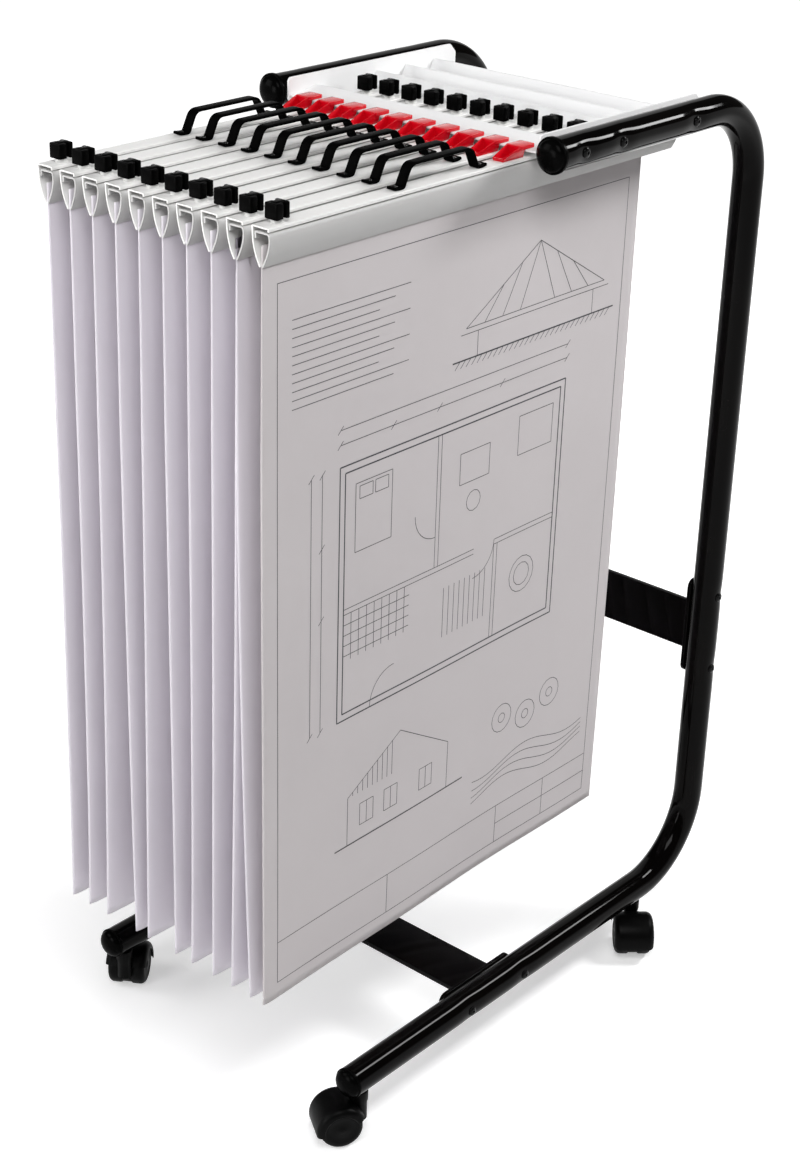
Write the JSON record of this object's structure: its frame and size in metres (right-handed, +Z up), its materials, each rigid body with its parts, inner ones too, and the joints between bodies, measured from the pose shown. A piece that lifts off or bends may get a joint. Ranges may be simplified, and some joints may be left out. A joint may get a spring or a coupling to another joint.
{
  "type": "plan hanging rack",
  "caption": "Front-loading plan trolley: two bent black tubes on castors carry a white rack of clamp hangers, each gripping a large drawing sheet by its top edge.",
  "frame": {"origin": "on the floor under the middle of the object's box", "axes": "+Z up, +X to the right along the row of hangers, -Y to the front, where the hangers come out"},
  "size_m": [0.493, 0.7616, 1.1005],
  "materials": {
    "black_paint": "gloss",
    "black_plastic": "satin",
    "castor_plastic": "satin",
    "wheel_plastic": "matte",
    "white_paint": "satin",
    "hanger_plastic": "satin",
    "paper": "matte"
  },
  "bodies": {
    "frame": {"left_side_tube": "black_paint", "left_arm_cap": "black_plastic", "left_leg_cap": "black_plastic", "left_rack_plate": "white_paint", "right_side_tube": "black_paint", "right_arm_cap": "black_plastic", "right_leg_cap": "black_plastic", "right_rack_plate": "white_paint", "upper_crossbar": "black_paint", "lower_crossbar": "black_paint", "front_rail": "white_paint", "rear_panel": "white_paint"},
    "front_left_castor": {"front_left_castor_hood": "castor_plastic"},
    "front_left_wheels": {"front_left_castor_wheels": "wheel_plastic"},
    "front_right_castor": {"front_right_castor_hood": "castor_plastic"},
    "front_right_wheels": {"front_right_castor_wheels": "wheel_plastic"},
    "rear_left_castor": {"rear_left_castor_hood": "castor_plastic"},
    "rear_left_wheels": {"rear_left_castor_wheels": "wheel_plastic"},
    "rear_right_castor": {"rear_right_castor_hood": "castor_plastic"},
    "rear_right_wheels": {"rear_right_castor_wheels": "wheel_plastic"},
    "hanger_1": {"hanger_1": "hanger_plastic", "sheet_1": "paper"},
    "front_knob_1": {"front_knob_1": "black_plastic"},
    "rear_knob_1": {"rear_knob_1": "black_plastic"},
    "hanger_2": {"hanger_2": "hanger_plastic", "sheet_2": "paper"},
    "front_knob_2": {"front_knob_2": "black_plastic"},
    "rear_knob_2": {"rear_knob_2": "black_plastic"},
    "hanger_3": {"hanger_3": "hanger_plastic", "sheet_3": "paper"},
    "front_knob_3": {"front_knob_3": "black_plastic"},
    "rear_knob_3": {"rear_knob_3": "black_plastic"},
    "hanger_4": {"hanger_4": "hanger_plastic", "sheet_4": "paper"},
    "front_knob_4": {"front_knob_4": "black_plastic"},
    "rear_knob_4": {"rear_knob_4": "black_plastic"},
    "hanger_5": {"hanger_5": "hanger_plastic", "sheet_5": "paper"},
    "front_knob_5": {"front_knob_5": "black_plastic"},
    "rear_knob_5": {"rear_knob_5": "black_plastic"},
    "hanger_6": {"hanger_6": "hanger_plastic", "sheet_6": "paper"},
    "front_knob_6": {"front_knob_6": "black_plastic"},
    "rear_knob_6": {"rear_knob_6": "black_plastic"},
    "hanger_7": {"hanger_7": "hanger_plastic", "sheet_7": "paper"},
    "front_knob_7": {"front_knob_7": "black_plastic"},
    "rear_knob_7": {"rear_knob_7": "black_plastic"},
    "hanger_8": {"hanger_8": "hanger_plastic", "sheet_8": "paper"},
    "front_knob_8": {"front_knob_8": "black_plastic"},
    "rear_knob_8": {"rear_knob_8": "black_plastic"},
    "hanger_9": {"hanger_9": "hanger_plastic", "sheet_9": "paper"},
    "front_knob_9": {"front_knob_9": "black_plastic"},
    "rear_knob_9": {"rear_knob_9": "black_plastic"},
    "hanger_10": {"hanger_10": "hanger_plastic", "sheet_10": "paper"},
    "front_knob_10": {"front_knob_10": "black_plastic"},
    "rear_knob_10": {"rear_knob_10": "black_plastic"}
  },
  "joints": [
    {"name": "front_left_swivel", "type": "hinge", "parent": "frame", "child": "front_left_castor", "pos_m": [-0.196, -0.27225, 0.063], "axis": [0, 0, 1], "continuous": true},
    {"name": "front_left_roll", "type": "hinge", "parent": "front_left_castor", "child": "front_left_wheels", "pos_m": [-0.20998, -0.25152, 0.025], "axis": [-0.829, -0.5592, 0], "continuous": true},
    {"name": "front_right_swivel", "type": "hinge", "parent": "frame", "child": "front_right_castor", "pos_m": [0.196, -0.27225, 0.063], "axis": [0, 0, 1], "continuous": true},
    {"name": "front_right_roll", "type": "hinge", "parent": "front_right_castor", "child": "front_right_wheels", "pos_m": [0.18238, -0.29322, 0.025], "axis": [0.8387, -0.5446, 0], "continuous": true},
    {"name": "rear_left_swivel", "type": "hinge", "parent": "frame", "child": "rear_left_castor", "pos_m": [-0.196, 0.25175, 0.063], "axis": [0, 0, 1], "continuous": true},
    {"name": "rear_left_roll", "type": "hinge", "parent": "rear_left_castor", "child": "rear_left_wheels", "pos_m": [-0.17895, 0.27003, 0.025], "axis": [-0.7314, 0.682, 0], "continuous": true},
    {"name": "rear_right_swivel", "type": "hinge", "parent": "frame", "child": "rear_right_castor", "pos_m": [0.196, 0.25175, 0.063], "axis": [0, 0, 1], "continuous": true},
    {"name": "rear_right_roll", "type": "hinge", "parent": "rear_right_castor", "child": "rear_right_wheels", "pos_m": [0.21305, 0.23347, 0.025], "axis": [0.7314, 0.682, 0], "continuous": true},
    {"name": "hanger_1_unhook", "type": "slide", "parent": "frame", "child": "hanger_1", "axis": [0, -1, 0], "range_m": [0, 0.025]},
    {"name": "front_knob_1_turn", "type": "hinge", "parent": "hanger_1", "child": "front_knob_1", "pos_m": [-0.1485, -0.35975, 1.071], "axis": [0, 0, 1], "continuous": true},
    {"name": "rear_knob_1_turn", "type": "hinge", "parent": "hanger_1", "child": "rear_knob_1", "pos_m": [-0.1485, 0.09225, 1.071], "axis": [0, 0, 1], "continuous": true},
    {"name": "hanger_2_unhook", "type": "slide", "parent": "frame", "child": "hanger_2", "axis": [0, -1, 0], "range_m": [0, 0.025]},
    {"name": "front_knob_2_turn", "type": "hinge", "parent": "hanger_2", "child": "front_knob_2", "pos_m": [-0.1155, -0.35975, 1.071], "axis": [0, 0, 1], "continuous": true},
    {"name": "rear_knob_2_turn", "type": "hinge", "parent": "hanger_2", "child": "rear_knob_2", "pos_m": [-0.1155, 0.09225, 1.071], "axis": [0, 0, 1], "continuous": true},
    {"name": "hanger_3_unhook", "type": "slide", "parent": "frame", "child": "hanger_3", "axis": [0, -1, 0], "range_m": [0, 0.025]},
    {"name": "front_knob_3_turn", "type": "hinge", "parent": "hanger_3", "child": "front_knob_3", "pos_m": [-0.0825, -0.35975, 1.071], "axis": [0, 0, 1], "continuous": true},
    {"name": "rear_knob_3_turn", "type": "hinge", "parent": "hanger_3", "child": "rear_knob_3", "pos_m": [-0.0825, 0.09225, 1.071], "axis": [0, 0, 1], "continuous": true},
    {"name": "hanger_4_unhook", "type": "slide", "parent": "frame", "child": "hanger_4", "axis": [0, -1, 0], "range_m": [0, 0.025]},
    {"name": "front_knob_4_turn", "type": "hinge", "parent": "hanger_4", "child": "front_knob_4", "pos_m": [-0.0495, -0.35975, 1.071], "axis": [0, 0, 1], "continuous": true},
    {"name": "rear_knob_4_turn", "type": "hinge", "parent": "hanger_4", "child": "rear_knob_4", "pos_m": [-0.0495, 0.09225, 1.071], "axis": [0, 0, 1], "continuous": true},
    {"name": "hanger_5_unhook", "type": "slide", "parent": "frame", "child": "hanger_5", "axis": [0, -1, 0], "range_m": [0, 0.025]},
    {"name": "front_knob_5_turn", "type": "hinge", "parent": "hanger_5", "child": "front_knob_5", "pos_m": [-0.0165, -0.35975, 1.071], "axis": [0, 0, 1], "continuous": true},
    {"name": "rear_knob_5_turn", "type": "hinge", "parent": "hanger_5", "child": "rear_knob_5", "pos_m": [-0.0165, 0.09225, 1.071], "axis": [0, 0, 1], "continuous": true},
    {"name": "hanger_6_unhook", "type": "slide", "parent": "frame", "child": "hanger_6", "axis": [0, -1, 0], "range_m": [0, 0.025]},
    {"name": "front_knob_6_turn", "type": "hinge", "parent": "hanger_6", "child": "front_knob_6", "pos_m": [0.0165, -0.35975, 1.071], "axis": [0, 0, 1], "continuous": true},
    {"name": "rear_knob_6_turn", "type": "hinge", "parent": "hanger_6", "child": "rear_knob_6", "pos_m": [0.0165, 0.09225, 1.071], "axis": [0, 0, 1], "continuous": true},
    {"name": "hanger_7_unhook", "type": "slide", "parent": "frame", "child": "hanger_7", "axis": [0, -1, 0], "range_m": [0, 0.025]},
    {"name": "front_knob_7_turn", "type": "hinge", "parent": "hanger_7", "child": "front_knob_7", "pos_m": [0.0495, -0.35975, 1.071], "axis": [0, 0, 1], "continuous": true},
    {"name": "rear_knob_7_turn", "type": "hinge", "parent": "hanger_7", "child": "rear_knob_7", "pos_m": [0.0495, 0.09225, 1.071], "axis": [0, 0, 1], "continuous": true},
    {"name": "hanger_8_unhook", "type": "slide", "parent": "frame", "child": "hanger_8", "axis": [0, -1, 0], "range_m": [0, 0.025]},
    {"name": "front_knob_8_turn", "type": "hinge", "parent": "hanger_8", "child": "front_knob_8", "pos_m": [0.0825, -0.35975, 1.071], "axis": [0, 0, 1], "continuous": true},
    {"name": "rear_knob_8_turn", "type": "hinge", "parent": "hanger_8", "child": "rear_knob_8", "pos_m": [0.0825, 0.09225, 1.071], "axis": [0, 0, 1], "continuous": true},
    {"name": "hanger_9_unhook", "type": "slide", "parent": "frame", "child": "hanger_9", "axis": [0, -1, 0], "range_m": [0, 0.025]},
    {"name": "front_knob_9_turn", "type": "hinge", "parent": "hanger_9", "child": "front_knob_9", "pos_m": [0.1155, -0.35975, 1.071], "axis": [0, 0, 1], "continuous": true},
    {"name": "rear_knob_9_turn", "type": "hinge", "parent": "hanger_9", "child": "rear_knob_9", "pos_m": [0.1155, 0.09225, 1.071], "axis": [0, 0, 1], "continuous": true},
    {"name": "hanger_10_unhook", "type": "slide", "parent": "frame", "child": "hanger_10", "axis": [0, -1, 0], "range_m": [0, 0.025]},
    {"name": "front_knob_10_turn", "type": "hinge", "parent": "hanger_10", "child": "front_knob_10", "pos_m": [0.1485, -0.35975, 1.071], "axis": [0, 0, 1], "continuous": true},
    {"name": "rear_knob_10_turn", "type": "hinge", "parent": "hanger_10", "child": "rear_knob_10", "pos_m": [0.1485, 0.09225, 1.071], "axis": [0, 0, 1], "continuous": true}
  ]
}
